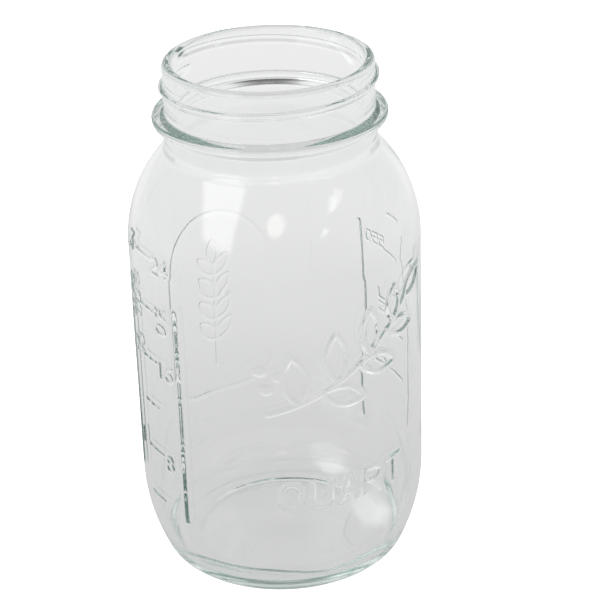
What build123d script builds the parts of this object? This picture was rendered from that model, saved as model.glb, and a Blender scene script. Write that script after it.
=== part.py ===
"""Quart canning jar with a regular mouth, open, as one glass moulding and its raised features.

Millimetres, +Z up. The origin is the middle of the ring that the jar stands on.
A bearing is an angle about +Z in degrees: 0 faces -Y, and it grows towards +X.
"""

import os
from math import acos, asin, cos, degrees, hypot, radians, sin

from build123d import *

# Overall sizes
HEIGHT = 173.0
BODY_RADIUS = 47.5
WALL = 2.9

# Foot and heel
HEEL_RADIUS = 6.2
FLARE_RADIUS = 67.0
FLARE_ANGLE = 24.5
RING_WIDTH = 4.8
PUSH_UP = 3.0
FLOOR_EDGE = 4.5
FLOOR_CROWN = 8.0
INNER_HEEL_RADIUS = 6.0

# Shoulder, neck and mouth
SHOULDER_Z = 113.0
SHOULDER_RADIUS = 44.8
WAIST_RADIUS = 34.0
WAIST_FILLET = 4.0
NECK_RADIUS = 33.4
MOUTH_RADIUS = 30.0
MOUTH_FILLET = 5.0
LIP_OUTER_ROUND = 1.2
LIP_INNER_ROUND = 1.0

# Transfer bead below the thread
BEAD_RADIUS = 37.4
BEAD_LOW_ROOT_Z = 152.0
BEAD_LOW_EDGE_Z = 154.2
BEAD_TOP_EDGE_Z = 156.4
BEAD_TOP_ROOT_Z = 157.5
BEAD_ROUND = 1.0
BEAD_ROOT_ROUND = 0.6

# Screw thread: single start, right-handed, five turns to the inch
THREAD_PITCH = 5.08
THREAD_CREST_RADIUS = 34.8
THREAD_ROOT_WIDTH = 3.4
THREAD_CREST_WIDTH = 1.3
THREAD_FRONT_Z = 165.8
THREAD_START_BEARING = -130.0
THREAD_END_BEARING = 250.0
THREAD_RUN_OUT = 16.0
THREAD_TRIM = 3.0
THREAD_SINK = 0.5
THREAD_CLEAR = 2.3

# Raised features: how far they stand out of the wall, how wide their strokes are, where they face
RELIEF = 0.6
FINE_STROKE = 0.8
BOLD_STROKE = 1.4
FRONT_BEARING = 30.0
BACK_BEARING = FRONT_BEARING - 180
OUNCE_BEARING = FRONT_BEARING - 90
METRIC_BEARING = FRONT_BEARING + 90
SKIN_LOW_ANGLE = 12
SKIN_HIGH_ANGLE = 18
SKETCH_DISTANCE = 25.0
SKETCH_DEPTH = 30.0

# Graduations: height of each mark by what it measures. Offsets run towards greater bearings.
OUNCE_MARKS = {4: 29.3, 8: 47.2, 12: 64.2, 16: 81.0, 20: 99.3, 24: 117.8}
METRIC_MARKS = {250: 49.2, 350: 64.2, 450: 79.0, 550: 94.0, 650: 108.8}
OUNCES_PER_CUP = 8
MAJOR_MARK = 11.0
MINOR_MARK = 8.2
OUNCE_MARK_OFFSET = -0.6
METRIC_MARK_OFFSET = -3.2

# Upright bars on both sides of each scale: width, offset, and lower and upper end
BAR_WIDTH = 2.4
BAR_OFFSET = 14.4
METRIC_BAR_OFFSET = 16.0
LONG_BAR_SPAN = (26.5, 102.0)
SHORT_BAR_SPAN = (36.0, 104.5)

# Numerals and units of both scales: size, spacing, and where their lower left corners lie
NUMERAL_HEIGHT = 5.2
NUMERAL_ADVANCE = 4.4
ONE_DIGIT_OFFSET = 6.6
TWO_DIGIT_OFFSET = 4.4
OUNCE_NUMERAL_DROP = 4.4
CUP_OFFSET = -12.2
CUP_DROP = 1.6
UNIT_HEIGHT = 4.4
METRIC_NUMERAL_ADVANCE = 3.8
METRIC_NUMERAL_OFFSET = 2.6
METRIC_NUMERAL_RISE = 0.6
OUNCE_UNIT_CORNER = (10.0, 92.8)
OUNCE_UNIT_ADVANCE = 5.6
CUP_UNIT_CORNER = (-9.4, 92.2)
CUP_UNIT_ADVANCE = 3.8
METRIC_UNIT_CORNER = (8.4, 70.0)
METRIC_UNIT_ADVANCE = 4.6

# Sprig on the front: its bowed stem, the leaf at its tip, its side leaves, and its berries.
# A side leaf is its place along the stem from 0 to 1, its heading in degrees, and its length.
STEM_FOOT = (-27.0, 72.0)
STEM_TIP = (22.0, 101.0)
STEM_SAG = 3.5
TIP_LEAF_HEADING = 36
TIP_LEAF_LENGTH = 12.0
TIP_LEAF_WIDTH = 5.0
SIDE_LEAVES = (
    (0.16, 96, 17.0),
    (0.30, -18, 15.0),
    (0.40, 92, 17.0),
    (0.56, -14, 15.0),
    (0.64, 88, 15.0),
    (0.80, -8, 13.0),
    (0.86, 84, 12.0),
)
SIDE_LEAF_SLIMNESS = 0.42
BERRIES = ((-27.0, 81.0), (-23.5, 85.5), (-28.5, 87.5))
BERRY_RADIUS = 1.7

# Capacity word under the sprig
WORD = "QUART"
WORD_CORNER = (-24.1, 37.4)
WORD_HEIGHT = 8.8
WORD_ADVANCE = 9.3
WORD_STROKE = 1.2

# Frame on the back, and the slim sprig in it
FRAME_LOW_Z = 34.5
FRAME_HIGH_Z = 103.7
FRAME_HALF_WIDTH = 20.5
FRAME_CORNER = 12.0
BACK_STEM_LOW_Z = 45.0
BACK_STEM_HIGH_Z = 83.0
BACK_LEAF_LENGTH = 10.0
BACK_LEAF_WIDTH = 4.2
BACK_LEAF_HEADING = 52
BACK_LEAF_LOW_Z = 55.0
BACK_LEAF_STEP = 8.0
BACK_LEAF_PAIRS = 4

# Strokes of each character in a cell 4 wide and 6 high
GLYPHS = {
    "0": [[(1, 0), (3, 0), (4, 1.5), (4, 4.5), (3, 6), (1, 6), (0, 4.5), (0, 1.5), (1, 0)]],
    "1": [[(1, 5), (2, 6), (2, 0)]],
    "2": [[(0, 4.8), (1, 6), (3, 6), (4, 4.8), (4, 3.8), (0, 0), (4, 0)]],
    "3": [[(0, 6), (4, 6), (2, 3.5), (4, 2.2), (4, 1), (3, 0), (1, 0), (0, 1)]],
    "4": [[(3, 0), (3, 6), (0, 2), (4, 2)]],
    "5": [[(4, 6), (0.4, 6), (0, 3.4), (3, 3.6), (4, 2.4), (4, 1.2), (3, 0), (0, 0)]],
    "6": [[(3.6, 6), (1, 4.4), (0, 1.8), (1, 0), (3, 0), (4, 1.6), (3, 3.2), (0.6, 2.9)]],
    "8": [[(1, 3.3), (0.3, 4.7), (1.2, 6), (2.8, 6), (3.7, 4.7), (3, 3.3), (4, 1.6), (3, 0),
           (1, 0), (0, 1.6), (1, 3.3), (3, 3.3)]],
    "A": [[(0, 0), (2, 6), (4, 0)], [(0.8, 2), (3.2, 2)]],
    "C": [[(4, 4.8), (3, 6), (1, 6), (0, 4.5), (0, 1.5), (1, 0), (3, 0), (4, 1.2)]],
    "L": [[(0, 6), (0, 0), (4, 0)]],
    "M": [[(0, 0), (0, 6), (2, 2.4), (4, 6), (4, 0)]],
    "O": [[(1, 0), (3, 0), (4, 1.5), (4, 4.5), (3, 6), (1, 6), (0, 4.5), (0, 1.5), (1, 0)]],
    "P": [[(0, 0), (0, 6), (3, 6), (4, 5), (4, 4), (3, 3), (0, 3)]],
    "Q": [[(1, 0), (3, 0), (4, 1.5), (4, 4.5), (3, 6), (1, 6), (0, 4.5), (0, 1.5), (1, 0)],
          [(2.4, 1.8), (4, -0.4)]],
    "R": [[(0, 0), (0, 6), (3, 6), (4, 5), (4, 4), (3, 3), (0, 3)], [(2, 3), (4, 0)]],
    "S": [[(4, 5), (3, 6), (1, 6), (0, 5), (0, 4.2), (4, 1.9), (4, 1), (3, 0), (1, 0), (0, 1)]],
    "T": [[(0, 6), (4, 6)], [(2, 6), (2, 0)]],
    "U": [[(0, 6), (0, 1.2), (1, 0), (3, 0), (4, 1.2), (4, 6)]],
    "Z": [[(0, 6), (4, 6), (0, 0), (4, 0)], [(0.4, 3), (3.6, 3)]],
}
CELL_HEIGHT = 6
CELL_ADVANCE = 5.6

# Values that follow from the sizes above
FLARE_REACH = FLARE_RADIUS - HEEL_RADIUS
FLARE_CENTRE = (BODY_RADIUS - FLARE_RADIUS, HEEL_RADIUS + FLARE_REACH * sin(radians(FLARE_ANGLE)))
RING_RADIUS = FLARE_CENTRE[0] + FLARE_REACH * cos(radians(FLARE_ANGLE))
SHOULDER_CENTRE = (BODY_RADIUS - SHOULDER_RADIUS, SHOULDER_Z)


def facing(bearing):
    """A plane through the axis that looks out along a bearing: x runs towards greater bearings, y up."""
    turn = radians(bearing)
    return Plane(origin=(0, 0, 0), x_dir=(cos(turn), sin(turn), 0), z_dir=(sin(turn), -cos(turn), 0))


def shoulder_angle(arc_radius, reach):
    """The angle along a shoulder arc at which it has come in to a given radius."""
    return degrees(acos((reach - SHOULDER_CENTRE[0]) / arc_radius))


def near(points, radius, height):
    """Of a section's corners, the one closest to a radius and a height."""
    return min(points, key=lambda v: hypot(v.X - radius, v.Y - height))


def polar(radius, bearing):
    """A point in plan at a radius and a bearing."""
    return radius * sin(radians(bearing)), -radius * cos(radians(bearing))


def make_jar():
    """The vessel: foot, body, shoulder, bead, neck and mouth, turned about the axis."""
    inner_flare = FLARE_RADIUS - WALL
    floor_angle = degrees(asin((FLARE_CENTRE[1] - FLOOR_EDGE) / inner_flare))
    inner_shoulder = SHOULDER_RADIUS - WALL
    outer_turn = shoulder_angle(SHOULDER_RADIUS, WAIST_RADIUS)
    inner_turn = shoulder_angle(inner_shoulder, MOUTH_RADIUS)
    ring_inside = RING_RADIUS - RING_WIDTH

    with BuildPart() as jar:
        with BuildSketch(Plane.XZ) as section:
            with BuildLine():
                Line((ring_inside, 0), (RING_RADIUS, 0))
                CenterArc((RING_RADIUS, HEEL_RADIUS), HEEL_RADIUS, -90, 90 - FLARE_ANGLE)
                CenterArc(FLARE_CENTRE, FLARE_RADIUS, -FLARE_ANGLE, FLARE_ANGLE)
                Line((BODY_RADIUS, FLARE_CENTRE[1]), (BODY_RADIUS, SHOULDER_Z))
                outer_arc = CenterArc(SHOULDER_CENTRE, SHOULDER_RADIUS, 0, outer_turn)
                Polyline(
                    outer_arc @ 1,
                    (WAIST_RADIUS, BEAD_LOW_ROOT_Z),
                    (BEAD_RADIUS, BEAD_LOW_EDGE_Z),
                    (BEAD_RADIUS, BEAD_TOP_EDGE_Z),
                    (NECK_RADIUS, BEAD_TOP_ROOT_Z),
                    (NECK_RADIUS, HEIGHT),
                    (MOUTH_RADIUS, HEIGHT),
                )
                inner_arc = CenterArc(SHOULDER_CENTRE, inner_shoulder, 0, inner_turn)
                Line((MOUTH_RADIUS, HEIGHT), inner_arc @ 1)
                Line((BODY_RADIUS - WALL, SHOULDER_Z), (BODY_RADIUS - WALL, FLARE_CENTRE[1]))
                wall_foot = CenterArc(FLARE_CENTRE, inner_flare, 0, -floor_angle)
                wall_foot_point = wall_foot @ 1
                Spline(wall_foot_point, (0, FLOOR_CROWN), tangents=[(-1, 0), (-1, 0)])
                Line((0, FLOOR_CROWN), (0, PUSH_UP))
                Spline((0, PUSH_UP), (ring_inside, 0), tangents=[(1, 0), (1, -0.5)])
            make_face()
            shoulder_top = outer_arc @ 1
            mouth_foot = inner_arc @ 1
            for radius, height, size in (
                (WAIST_RADIUS, shoulder_top.Y, WAIST_FILLET),
                (MOUTH_RADIUS, mouth_foot.Y, MOUTH_FILLET),
                (wall_foot_point.X, wall_foot_point.Y, INNER_HEEL_RADIUS),
                (WAIST_RADIUS, BEAD_LOW_ROOT_Z, BEAD_ROOT_ROUND),
                (BEAD_RADIUS, BEAD_LOW_EDGE_Z, BEAD_ROUND),
                (BEAD_RADIUS, BEAD_TOP_EDGE_Z, BEAD_ROUND),
                (NECK_RADIUS, BEAD_TOP_ROOT_Z, BEAD_ROOT_ROUND),
                (NECK_RADIUS, HEIGHT, LIP_OUTER_ROUND),
                (MOUTH_RADIUS, HEIGHT, LIP_INNER_ROUND),
            ):
                fillet(near(section.vertices(), radius, height), size)
        revolve(axis=Axis.Z)
    return jar.part


def make_thread():
    """The raised screw thread: a trapezoid along a helix, pared away to nothing at both ends.

    A helix starts at bearing 90, so the thread is made there and the finished part is turned.
    """
    sweep_angle = THREAD_END_BEARING - THREAD_START_BEARING
    start_z = THREAD_FRONT_Z + THREAD_PITCH * THREAD_START_BEARING / 360
    rise = THREAD_PITCH * sweep_angle / 360
    foot = -THREAD_SINK
    crest = THREAD_CREST_RADIUS - NECK_RADIUS
    root_half = THREAD_ROOT_WIDTH / 2 + THREAD_SINK
    crest_half = THREAD_CREST_WIDTH / 2

    with BuildPart() as thread:
        with BuildLine(Plane.XY.offset(start_z)) as path:
            Helix(pitch=THREAD_PITCH, height=rise, radius=NECK_RADIUS)
        with BuildSketch(Plane(origin=path.line @ 0, x_dir=(1, 0, 0), z_dir=path.line % 0)):
            with BuildLine():
                Polyline(
                    (foot, -root_half),
                    (crest, -crest_half),
                    (crest, crest_half),
                    (foot, root_half),
                    close=True,
                )
            make_face()
        sweep(path=path.line, is_frenet=True)
        with Locations((0, 0, start_z + rise / 2)):
            Cylinder(NECK_RADIUS, 4 * THREAD_PITCH, mode=Mode.SUBTRACT)
        for bearing, side, end_z in (
            (90, 1, start_z),
            (90 + sweep_angle, -1, start_z + rise),
        ):
            with BuildSketch(Plane.XY.offset(end_z - THREAD_CLEAR)):
                with BuildLine():
                    Polyline(
                        polar(NECK_RADIUS - THREAD_SINK, bearing - side),
                        polar(THREAD_CREST_RADIUS + THREAD_SINK, bearing + side * THREAD_RUN_OUT),
                        polar(BODY_RADIUS, bearing + side * THREAD_RUN_OUT),
                        polar(BODY_RADIUS, bearing - THREAD_TRIM * side),
                        polar(NECK_RADIUS - THREAD_SINK, bearing - THREAD_TRIM * side),
                        close=True,
                    )
                make_face()
            extrude(amount=2 * THREAD_CLEAR, mode=Mode.SUBTRACT)
    return thread.part.rotate(Axis.Z, THREAD_START_BEARING - 90)


def make_skin():
    """A thin layer over the body wall, in which every raised feature lies."""
    with BuildPart() as skin:
        with BuildSketch(Plane.XZ):
            with BuildLine():
                low, high = [], []
                for lift in (0, RELIEF):
                    flare = FLARE_RADIUS + lift
                    shoulder = SHOULDER_RADIUS + lift
                    low_arc = CenterArc(FLARE_CENTRE, flare, -SKIN_LOW_ANGLE, SKIN_LOW_ANGLE)
                    Line((BODY_RADIUS + lift, FLARE_CENTRE[1]), (BODY_RADIUS + lift, SHOULDER_Z))
                    high_arc = CenterArc(SHOULDER_CENTRE, shoulder, 0, SKIN_HIGH_ANGLE)
                    low.append(low_arc @ 0)
                    high.append(high_arc @ 1)
                Line(*low)
                Line(*high)
            make_face()
        revolve(axis=Axis.Z)
    return skin.part


def glyph_strokes(text, height, at, advance=None, upright=True):
    """The strokes of a line of characters whose first cell has its lower left corner at a point."""
    scale = height / CELL_HEIGHT
    step = advance or CELL_ADVANCE * scale
    strokes = []
    for place, character in enumerate(text):
        for stroke in GLYPHS[character]:
            run = [(place * step + x * scale, y * scale) for x, y in stroke]
            if not upright:
                run = [(-y, x) for x, y in run]
            strokes.append([(at[0] + x, at[1] + y) for x, y in run])
    return strokes


def pen(points, width):
    """Draws one stroke with round joints and ends into the sketch that is open."""
    for start, end in zip(points, points[1:]):
        with BuildLine() as run:
            Line(start, end)
        trace(run.line, line_width=width)
    with Locations(*points):
        Circle(width / 2)


def bow(start, end, rise, width):
    """Draws one bowed stroke that rises to the left of its chord, with round ends."""
    chord_x, chord_y = end[0] - start[0], end[1] - start[1]
    length = hypot(chord_x, chord_y)
    middle = (
        (start[0] + end[0]) / 2 - chord_y / length * rise,
        (start[1] + end[1]) / 2 + chord_x / length * rise,
    )
    with BuildLine() as run:
        ThreePointArc(start, middle, end)
    trace(run.line, line_width=width)
    with Locations(start, end):
        Circle(width / 2)


def leaf(base, heading, length, width, stroke):
    """Draws the outline of a pointed leaf that grows from a point along a heading in degrees."""
    tip = (
        base[0] + length * cos(radians(heading)),
        base[1] + length * sin(radians(heading)),
    )
    bow(base, tip, width / 2, stroke)
    bow(base, tip, -width / 2, stroke)


def draw_bar(offset, span):
    """Draws an upright bar with round ends."""
    low, high = span
    pen([(offset, low), (offset, high)], BAR_WIDTH)


def draw_marks(marks, long_marks, offset):
    """Draws level graduation marks, each at its height, the long ones where the scale has a numeral."""
    for value, height in marks.items():
        half = (MAJOR_MARK if value in long_marks else MINOR_MARK) / 2
        pen([(offset - half, height), (offset + half, height)], FINE_STROKE)


def draw_text(text, height, at, advance=None, upright=True, stroke=FINE_STROKE):
    """Draws a line of raised characters."""
    for run in glyph_strokes(text, height, at, advance, upright):
        pen(run, stroke)


def draw_ounce_scale():
    """Fluid ounces on the inner side, cups on the outer side, between two upright bars."""
    draw_bar(BAR_OFFSET, LONG_BAR_SPAN)
    draw_bar(-BAR_OFFSET, SHORT_BAR_SPAN)
    numbered = (8, 16, 24)
    draw_marks(OUNCE_MARKS, numbered, OUNCE_MARK_OFFSET)
    for ounces in numbered:
        text = str(ounces)
        left = ONE_DIGIT_OFFSET if len(text) == 1 else TWO_DIGIT_OFFSET
        low = OUNCE_MARKS[ounces] - OUNCE_NUMERAL_DROP
        draw_text(text, NUMERAL_HEIGHT, (left, low), NUMERAL_ADVANCE)
        cup_low = OUNCE_MARKS[ounces] - CUP_DROP
        draw_text(str(ounces // OUNCES_PER_CUP), NUMERAL_HEIGHT, (CUP_OFFSET, cup_low))
    draw_text("OZ", UNIT_HEIGHT, OUNCE_UNIT_CORNER, OUNCE_UNIT_ADVANCE, upright=False)
    draw_text("CUPS", UNIT_HEIGHT, CUP_UNIT_CORNER, CUP_UNIT_ADVANCE, upright=False)


def draw_metric_scale():
    """Millilitres between two upright bars, on the side away from the ounces."""
    draw_bar(METRIC_BAR_OFFSET, LONG_BAR_SPAN)
    draw_bar(-BAR_OFFSET, SHORT_BAR_SPAN)
    numbered = (250, 550)
    draw_marks(METRIC_MARKS, numbered, METRIC_MARK_OFFSET)
    for millilitres in numbered:
        low = METRIC_MARKS[millilitres] + METRIC_NUMERAL_RISE
        corner = (METRIC_NUMERAL_OFFSET, low)
        draw_text(str(millilitres), UNIT_HEIGHT, corner, METRIC_NUMERAL_ADVANCE)
    draw_text("ML", UNIT_HEIGHT, METRIC_UNIT_CORNER, METRIC_UNIT_ADVANCE, upright=False)


def stem_point(along):
    """The point on the front sprig's bowed stem at a place along its chord from 0 to 1."""
    chord_x, chord_y = STEM_TIP[0] - STEM_FOOT[0], STEM_TIP[1] - STEM_FOOT[1]
    length = hypot(chord_x, chord_y)
    sag = 4 * STEM_SAG * along * (1 - along)
    return (
        STEM_FOOT[0] + chord_x * along + sag * chord_y / length,
        STEM_FOOT[1] + chord_y * along - sag * chord_x / length,
    )


def draw_sprig():
    """A leafy sprig that climbs towards greater bearings, with three berries by its foot."""
    bow(STEM_FOOT, STEM_TIP, -STEM_SAG, BOLD_STROKE)
    leaf(STEM_TIP, TIP_LEAF_HEADING, TIP_LEAF_LENGTH, TIP_LEAF_WIDTH, BOLD_STROKE)
    for along, heading, length in SIDE_LEAVES:
        leaf(stem_point(along), heading, length, length * SIDE_LEAF_SLIMNESS, BOLD_STROKE)
    with Locations(*BERRIES):
        Circle(BERRY_RADIUS)


def draw_word():
    """The capacity, in capitals under the sprig."""
    draw_text(WORD, WORD_HEIGHT, WORD_CORNER, WORD_ADVANCE, stroke=WORD_STROKE)


def draw_back_frame():
    """An upright frame with a rounded head around a slim upright sprig."""
    half = FRAME_HALF_WIDTH
    head = FRAME_HIGH_Z - half
    with BuildLine() as outline:
        FilletPolyline(
            (-half, head),
            (-half, FRAME_LOW_Z),
            (half, FRAME_LOW_Z),
            (half, head),
            radius=FRAME_CORNER,
        )
        ThreePointArc((half, head), (0, FRAME_HIGH_Z), (-half, head))
    trace(outline.line, line_width=BOLD_STROKE)
    pen([(0, BACK_STEM_LOW_Z), (0, BACK_STEM_HIGH_Z)], FINE_STROKE)
    leaf((0, BACK_STEM_HIGH_Z), 90, BACK_LEAF_LENGTH, BACK_LEAF_WIDTH, FINE_STROKE)
    for pair in range(BACK_LEAF_PAIRS):
        base = (0, BACK_LEAF_LOW_Z + BACK_LEAF_STEP * pair)
        for heading in (BACK_LEAF_HEADING, 180 - BACK_LEAF_HEADING):
            leaf(base, heading, BACK_LEAF_LENGTH, BACK_LEAF_WIDTH, FINE_STROKE)


def make_raised(draw, bearing, skin):
    """A raised feature: a drawing pushed out along a bearing and kept where it lies in the skin."""
    with BuildPart() as feature:
        with BuildSketch(facing(bearing).offset(SKETCH_DISTANCE)):
            draw()
        extrude(amount=SKETCH_DEPTH)
        add(skin, mode=Mode.INTERSECT)
    return feature.part


def save(part, name):
    """Labels a finished piece and writes it as one STEP file under its name."""
    part.label = name
    export_step(part, f"parts/{name}.step")
    print(f"{name}: {len(part.solids())} solids, {part.volume:.0f} mm3")


def main():
    os.makedirs("parts", exist_ok=True)
    save(make_jar(), "glass_jar")
    save(make_thread(), "neck_thread")
    skin = make_skin()
    save(make_raised(draw_ounce_scale, OUNCE_BEARING, skin), "ounce_scale")
    save(make_raised(draw_metric_scale, METRIC_BEARING, skin), "millilitre_scale")
    save(make_raised(draw_sprig, FRONT_BEARING, skin), "front_sprig")
    save(make_raised(draw_word, FRONT_BEARING, skin), "capacity_word")
    save(make_raised(draw_back_frame, BACK_BEARING, skin), "back_frame")


if __name__ == "__main__":
    main()
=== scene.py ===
"""Look of the quart canning jar: one clear glass moulding on a pale studio floor.

The jar is worked out in millimetres and written to the mesh in metres. +Z is up, and the origin
is the middle of the ring that the jar stands on. A bearing is an angle about +Z in degrees: 0
faces -Y, and it grows towards +X.
"""

from math import acos, asin, atan2, ceil, cos, degrees, hypot, pi, radians, sin, sqrt

import bpy
import numpy as np
from mathutils import Matrix, Vector

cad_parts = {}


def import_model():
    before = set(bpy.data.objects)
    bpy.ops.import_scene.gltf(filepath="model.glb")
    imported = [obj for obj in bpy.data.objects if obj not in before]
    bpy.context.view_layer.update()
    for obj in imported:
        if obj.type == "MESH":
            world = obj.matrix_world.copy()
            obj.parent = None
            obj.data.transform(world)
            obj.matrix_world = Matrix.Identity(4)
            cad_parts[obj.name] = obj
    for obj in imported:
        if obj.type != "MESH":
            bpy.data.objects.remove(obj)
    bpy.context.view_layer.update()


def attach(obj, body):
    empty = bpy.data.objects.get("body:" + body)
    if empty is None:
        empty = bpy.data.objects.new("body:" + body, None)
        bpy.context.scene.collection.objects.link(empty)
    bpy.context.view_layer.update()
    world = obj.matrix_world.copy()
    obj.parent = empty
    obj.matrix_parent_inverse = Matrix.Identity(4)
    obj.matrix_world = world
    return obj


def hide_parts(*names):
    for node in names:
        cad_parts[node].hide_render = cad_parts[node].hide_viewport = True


MM = 0.001

# Vessel. The ring's inner edge is given by points: how far from the edge, and how high. The push-up
# is its height in the middle and the power by which it falls towards the ring.
HEIGHT = 173.0
BODY_RADIUS = 47.5
WALL = 2.9
HEEL_RADIUS = 6.2
FLARE_RADIUS = 67.0
FLARE_ANGLE = 24.5
RING_WIDTH = 4.8
RING_EDGE = ((-0.5, 0.12), (0.1, 0.02), (0.7, 0.0))
PUSH_UP = 3.0
PUSH_UP_POWER = 2.6
FLOOR_EDGE = 4.5
FLOOR_CROWN = 8.0
INNER_HEEL_RADIUS = 6.0
SHOULDER_Z = 113.0
SHOULDER_RADIUS = 44.8
WAIST_RADIUS = 34.0
WAIST_FILLET = 4.0
NECK_RADIUS = 33.4
MOUTH_RADIUS = 30.0
MOUTH_FILLET = 5.0
LIP_RADIUS = NECK_RADIUS - 1.6
LIP_OUTER_ROUND = 1.5
LIP_INNER_ROUND = 1.25

# Where things of the vessel lie that follow from its sizes
FLARE_REACH = FLARE_RADIUS - HEEL_RADIUS
FLARE_CENTRE = (
    BODY_RADIUS - FLARE_RADIUS,
    HEEL_RADIUS + FLARE_REACH * sin(radians(FLARE_ANGLE)),
)
RING_RADIUS = FLARE_CENTRE[0] + FLARE_REACH * cos(radians(FLARE_ANGLE))
SHOULDER_CENTRE = (BODY_RADIUS - SHOULDER_RADIUS, SHOULDER_Z)

# Transfer bead: heights of its lower root, lower edge, upper edge and upper root, and its roundings
BEAD_RADIUS = 37.4
BEAD_HEIGHTS = (152.0, 154.2, 156.3, 157.0)
BEAD_ROUNDS = (1.0, 1.4, 1.2, 0.4)

# Spacing of the points along the profile. It is fine where there are raised marks, which lie
# between two angles on the arcs of the flare and the shoulder. Points within SAME_POINT are one.
MARKED_STEP = 0.36
CURVE_STEP = 0.7
FILLET_STEP = 0.3
FOOT_STEP = 0.6
HEEL_STEP = 0.45
NECK_STEPS = (0.3, 0.2, 0.2, 0.2, 0.12, 0.2)
CORNER_STEP_SHARE = 0.22
INNER_LIP_STEPS = (0.3, 1.0)
INNER_FILLET_STEP = 0.6
INNER_CURVE_STEP = 1.2
INNER_WALL_STEP = 1.6
PUSH_UP_POINTS = 46
FLOOR_POINTS = 40
MARKS_LOW_ANGLE = -9
MARKS_HIGH_ANGLE = 13
SAME_POINT = 1e-4

# Columns of the grid: bands from one bearing to another with their spacing, and the widest spacing
# outside the bands
COLUMN_BANDS = (
    (-84, -74, 0.2), (-74, -44, 0.42), (-44, -40, 0.12), (-40, -38, 0.42), (-12, 70, 0.42),
    (96, 101, 0.42), (101, 104.5, 0.2), (104.5, 137, 0.42), (137, 142, 0.2), (142, 146, 0.42),
    (179, 241, 0.42),
)
PLAIN_SPACING = 0.9

# Screw thread: single start, right-handed, five turns to the inch
THREAD_PITCH = 5.08
THREAD_HEIGHT = 1.3
THREAD_TOP_FLANK = 0.5
THREAD_LOW_FLANK = 2.7
THREAD_CREST_SHARE = 0.1
THREAD_FRONT_Z = 166.6
THREAD_BEARINGS = (-130.0, 250.0)
THREAD_RUN_OUT = 16.0
THREAD_FOOT_Z = 158.0
THREAD_INSET = 0.6

# How finely bows and the frame's rounds are drawn, how far past a stroke its points are sought, and
# how squarely the wall has to face a stroke for the stroke to lie there
BOW_POINTS = 15
FRAME_CORNER_POINTS = 12
FRAME_TOP_POINTS = 16
REACH_MARGIN = 0.2
COLUMN_MARGIN = 1
FACING_COSINE = 0.2

# Where the raised marks face, and their strokes: width, height, and half the width of their flanks.
# FRAME_HEIGHTS are those of the frame's right and left side.
FRONT_BEARING = 30.0
BACK_BEARING = FRONT_BEARING + 180
OUNCE_BEARING = FRONT_BEARING - 90
METRIC_BEARING = FRONT_BEARING + 90
FINE_STROKE = 0.8
BOLD_STROKE = 1.4
SOFT = 0.4
TEXT_HEIGHT = 0.42
MARK_HEIGHT = 0.3
SPRIG_HEIGHT = 0.55
BERRY_STROKE = (3.4, 0.5, 0.7)
WORD_STROKE = (1.3, 0.42)
FRAME_HEIGHTS = (0.3, 0.24)
LONG_BAR_STROKE = (1.8, 0.8, 0.7)
METRIC_BAR_STROKE = (1.5, 0.7, 0.8)
SHORT_BAR_STROKE = (1.5, 0.4, 0.9)

# Graduations: height of each mark by what it measures, and half its length
OUNCE_MARKS = {4: 29.3, 8: 47.2, 12: 64.2, 16: 81.0, 20: 99.3, 24: 117.8}
METRIC_MARKS = {250: 49.2, 350: 64.2, 450: 79.0, 550: 94.0, 650: 108.8}
OUNCES_PER_CUP = 8
NUMBERED_METRIC_MARKS = (250, 550)
MAJOR_HALF = 5.5
MINOR_HALF = 4.1
OUNCE_MARK_OFFSET = -0.6
METRIC_MARK_OFFSET = -3.2

# Upright bars on both sides of each scale
BAR_OFFSET = 14.4
METRIC_BAR_OFFSET = 16.0
LONG_BAR_SPAN = (26.5, 102.0)
SHORT_BAR_SPAN = (36.0, 104.5)

# Numerals and units: size, spacing, and where their lower left corners lie
NUMERAL_HEIGHT = 5.2
NUMERAL_ADVANCE = 4.4
ONE_DIGIT_OFFSET = 6.6
TWO_DIGIT_OFFSET = 4.4
OUNCE_NUMERAL_DROP = 4.4
CUP_OFFSET = -12.2
CUP_DROP = 1.6
UNIT_HEIGHT = 4.4
METRIC_NUMERAL_ADVANCE = 3.8
METRIC_NUMERAL_OFFSET = 2.6
METRIC_NUMERAL_RISE = 0.6
OUNCE_UNIT_CORNER = (10.0, 92.8)
OUNCE_UNIT_ADVANCE = 5.6
CUP_UNIT_CORNER = (-9.4, 92.2)
CUP_UNIT_ADVANCE = 3.8
METRIC_UNIT_CORNER = (8.4, 70.0)
METRIC_UNIT_ADVANCE = 4.6

# Sprig on the front: its bowed stem, the leaf at its tip, its side leaves, and its berries.
# A side leaf is its place along the stem from 0 to 1, its heading in degrees, and its length.
STEM_FOOT = (-27.0, 72.0)
STEM_TIP = (22.0, 101.0)
STEM_SAG = 3.5
TIP_LEAF_HEADING = 36
TIP_LEAF_LENGTH = 12.0
TIP_LEAF_WIDTH = 5.0
SIDE_LEAVES = (
    (0.16, 96, 17.0),
    (0.30, -18, 15.0),
    (0.40, 92, 17.0),
    (0.56, -14, 15.0),
    (0.64, 88, 15.0),
    (0.80, -8, 13.0),
    (0.86, 84, 12.0),
)
SIDE_LEAF_SLIMNESS = 0.42
BERRIES = ((-27.0, 81.0), (-23.5, 85.5), (-28.5, 87.5))

# Capacity word under the sprig
WORD = "QUART"
WORD_CORNER = (-24.1, 37.4)
WORD_HEIGHT = 8.8
WORD_ADVANCE = 9.3

# Frame on the back, and the slim sprig in it
FRAME_LOW_Z = 34.5
FRAME_HIGH_Z = 103.7
FRAME_HALF_WIDTH = 20.5
FRAME_CORNER = 12.0
BACK_STEM_LOW_Z = 45.0
BACK_STEM_HIGH_Z = 83.0
BACK_LEAF_LENGTH = 10.0
BACK_LEAF_WIDTH = 4.2
BACK_LEAF_HEADING = 52
BACK_LEAF_LOW_Z = 55.0
BACK_LEAF_STEP = 8.0
BACK_LEAF_PAIRS = 4

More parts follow.
